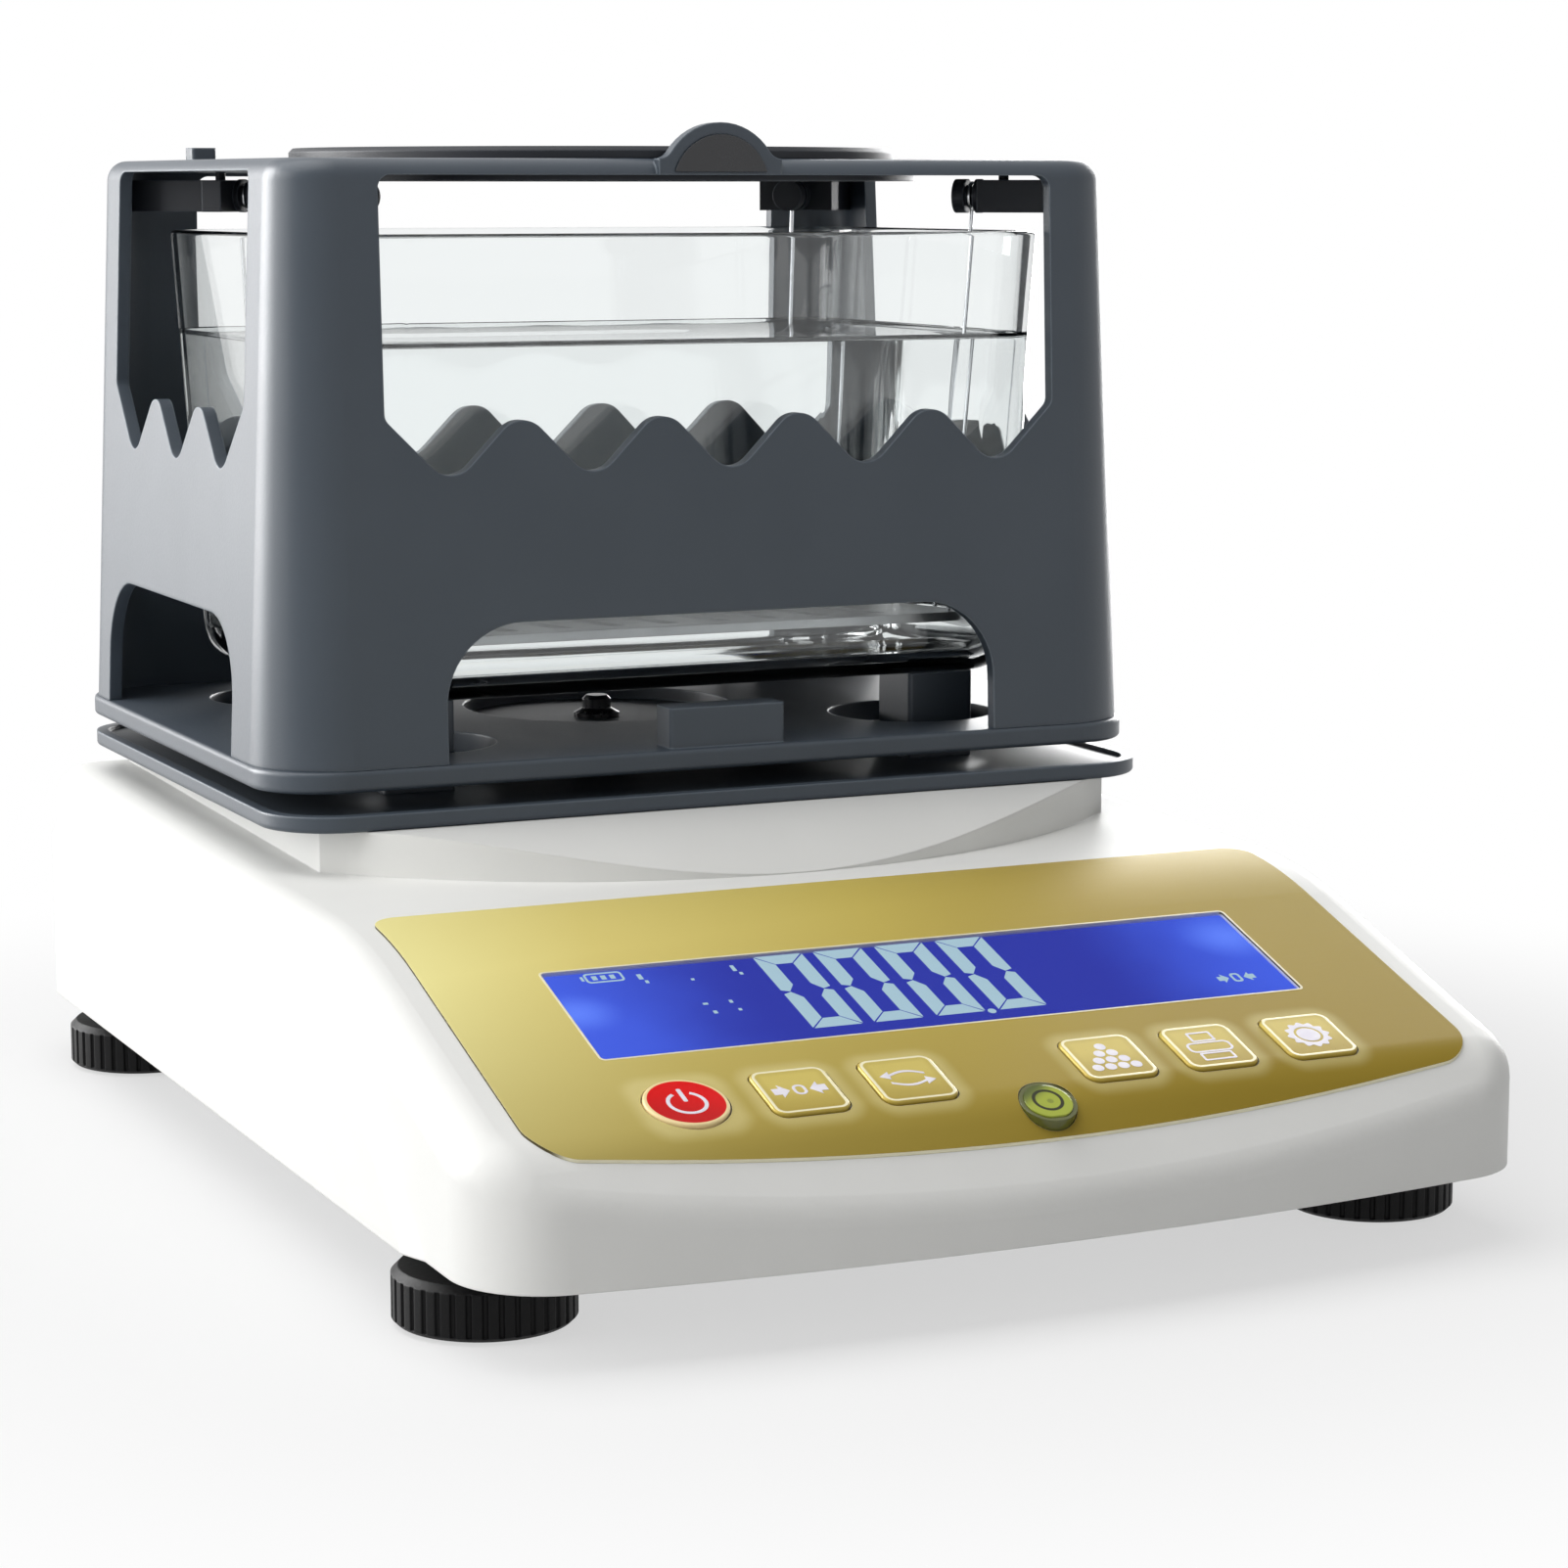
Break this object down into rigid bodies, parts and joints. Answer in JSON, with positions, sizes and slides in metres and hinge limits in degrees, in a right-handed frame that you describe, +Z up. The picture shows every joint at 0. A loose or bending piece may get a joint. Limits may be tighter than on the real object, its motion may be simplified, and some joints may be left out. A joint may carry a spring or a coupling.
{
  "type": "electronic gold tester",
  "caption": "Counter-top densimeter for gold: sloping keypad housing, open weighed rack around a clear water tank, hanging sink plate and round top tray.",
  "frame": {"origin": "on the resting plane under the middle of the housing's outline", "axes": "+X to the right seen from the control panel, +Y from the control panel to the rear sockets, +Z up"},
  "size_m": [0.1974, 0.2694, 0.1912],
  "materials": {
    "housing_white": "semi-gloss warm white, fine texture",
    "cover_grey": "matte grey",
    "knob_black": "satin black",
    "pad_rubber": "matte",
    "overlay_gold": "printed film, light gold to darker gold",
    "window_clear": "clear",
    "display_blue": "lit blue panel",
    "key_red": "glossy red",
    "key_gold": "glossy gold",
    "board_green": "solder mask",
    "vial_clear": "tinted clear",
    "lens_green": "tinted clear",
    "brass": "turned",
    "steel": "bright",
    "chrome": "polished",
    "cell_aluminium": "milled",
    "rack_slate": "slate grey, semi-gloss",
    "badge_grey": "plain disc",
    "tank_glass": "clear",
    "battery_black": "matte"
  },
  "bodies": {
    "housing": {"upper_housing": "housing_white", "bottom_cover": "cover_grey", "foot_inserts": "brass", "cover_screws": "steel", "keypad_overlay": "overlay_gold", "display_window": "window_clear", "display_module": "display_blue", "keypad_board": "board_green", "level_vial": "vial_clear", "level_lens": "lens_green", "load_cell": "cell_aluminium", "cell_mount": "cell_aluminium", "cell_bolts": "steel", "tank_plate": "rack_slate", "tank_posts": "rack_slate", "glass_tank": "tank_glass", "main_board": "board_green", "board_posts": "knob_black", "battery_pack": "battery_black", "power_inlet": "battery_black", "serial_port": "steel"},
    "rack": {"spindle": "steel", "rack_plate": "rack_slate", "centre_screw": "chrome", "rack_shell": "rack_slate", "front_badge": "badge_grey", "tray_seat": "rack_slate", "sink_plate": "rack_slate", "hook_arm_front_left": "rack_slate", "hook_arm_front_right": "rack_slate", "hook_arm_back_left": "rack_slate", "hook_arm_back_right": "rack_slate", "hook_wire_front_left": "chrome", "hook_wire_front_right": "chrome", "hook_wire_back_left": "chrome", "hook_wire_back_right": "chrome"},
    "tray": {"weighing_tray": "rack_slate"},
    "power_key": {"power_key": "key_red"},
    "zero_key": {"zero_key": "key_gold"},
    "mode_key": {"mode_key": "key_gold"},
    "count_key": {"count_key": "key_gold"},
    "print_key": {"print_key": "key_gold"},
    "set_key": {"set_key": "key_gold"},
    "foot_pad_front_left": {"foot_pad_front_left": "pad_rubber"},
    "foot_knob_front_left": {"foot_knob_front_left": "knob_black"},
    "foot_pad_front_right": {"foot_pad_front_right": "pad_rubber"},
    "foot_knob_front_right": {"foot_knob_front_right": "knob_black"},
    "foot_pad_back_left": {"foot_pad_back_left": "pad_rubber"},
    "foot_knob_back_left": {"foot_knob_back_left": "knob_black"},
    "foot_pad_back_right": {"foot_pad_back_right": "pad_rubber"},
    "foot_knob_back_right": {"foot_knob_back_right": "knob_black"}
  },
  "joints": [
    {"name": "rack_load", "type": "slide", "parent": "housing", "child": "rack", "axis": [0, 0, 1], "range_m": [-0.0003, 0], "stiffness_N_per_m": 20000, "springref_m": 0.0003},
    {"name": "tray_lift", "type": "slide", "parent": "rack", "child": "tray", "axis": [0, 0, 1], "range_m": [0, 0.03]},
    {"name": "power_key_press", "type": "slide", "parent": "housing", "child": "power_key", "axis": [0, 0.309, -0.9511], "range_m": [0, 0.0004], "stiffness_N_per_m": 800, "springref_m": -0.0005},
    {"name": "zero_key_press", "type": "slide", "parent": "housing", "child": "zero_key", "axis": [0, 0.309, -0.9511], "range_m": [0, 0.0004], "stiffness_N_per_m": 800, "springref_m": -0.0005},
    {"name": "mode_key_press", "type": "slide", "parent": "housing", "child": "mode_key", "axis": [0, 0.309, -0.9511], "range_m": [0, 0.0004], "stiffness_N_per_m": 800, "springref_m": -0.0005},
    {"name": "count_key_press", "type": "slide", "parent": "housing", "child": "count_key", "axis": [0, 0.309, -0.9511], "range_m": [0, 0.0004], "stiffness_N_per_m": 800, "springref_m": -0.0005},
    {"name": "print_key_press", "type": "slide", "parent": "housing", "child": "print_key", "axis": [0, 0.309, -0.9511], "range_m": [0, 0.0004], "stiffness_N_per_m": 800, "springref_m": -0.0005},
    {"name": "set_key_press", "type": "slide", "parent": "housing", "child": "set_key", "axis": [0, 0.309, -0.9511], "range_m": [0, 0.0004], "stiffness_N_per_m": 800, "springref_m": -0.0005},
    {"name": "foot_rise_front_left", "type": "slide", "parent": "housing", "child": "foot_pad_front_left", "axis": [0, 0, 1], "range_m": [-0.0031, 0.0016]},
    {"name": "foot_turn_front_left", "type": "hinge", "parent": "foot_pad_front_left", "child": "foot_knob_front_left", "pos_m": [-0.0837, -0.0944, 0], "axis": [0, 0, 1], "range_deg": [-1080, 540]},
    {"name": "foot_rise_front_right", "type": "slide", "parent": "housing", "child": "foot_pad_front_right", "axis": [0, 0, 1], "range_m": [-0.0031, 0.0016]},
    {"name": "foot_turn_front_right", "type": "hinge", "parent": "foot_pad_front_right", "child": "foot_knob_front_right", "pos_m": [0.0837, -0.0944, 0], "axis": [0, 0, 1], "range_deg": [-1080, 540]},
    {"name": "foot_rise_back_left", "type": "slide", "parent": "housing", "child": "foot_pad_back_left", "axis": [0, 0, 1], "range_m": [-0.0031, 0.0016]},
    {"name": "foot_turn_back_left", "type": "hinge", "parent": "foot_pad_back_left", "child": "foot_knob_back_left", "pos_m": [-0.0837, 0.1078, 0], "axis": [0, 0, 1], "range_deg": [-1080, 540]},
    {"name": "foot_rise_back_right", "type": "slide", "parent": "housing", "child": "foot_pad_back_right", "axis": [0, 0, 1], "range_m": [-0.0031, 0.0016]},
    {"name": "foot_turn_back_right", "type": "hinge", "parent": "foot_pad_back_right", "child": "foot_knob_back_right", "pos_m": [0.0837, 0.1078, 0], "axis": [0, 0, 1], "range_deg": [-1080, 540]}
  ],
  "couplings": [
    {"joint": "foot_rise_front_left", "follows": "foot_turn_front_left", "m_per_rad": 0.00015915},
    {"joint": "foot_rise_front_right", "follows": "foot_turn_front_right", "m_per_rad": 0.00015915},
    {"joint": "foot_rise_back_left", "follows": "foot_turn_back_left", "m_per_rad": 0.00015915},
    {"joint": "foot_rise_back_right", "follows": "foot_turn_back_right", "m_per_rad": 0.00015915}
  ]
}
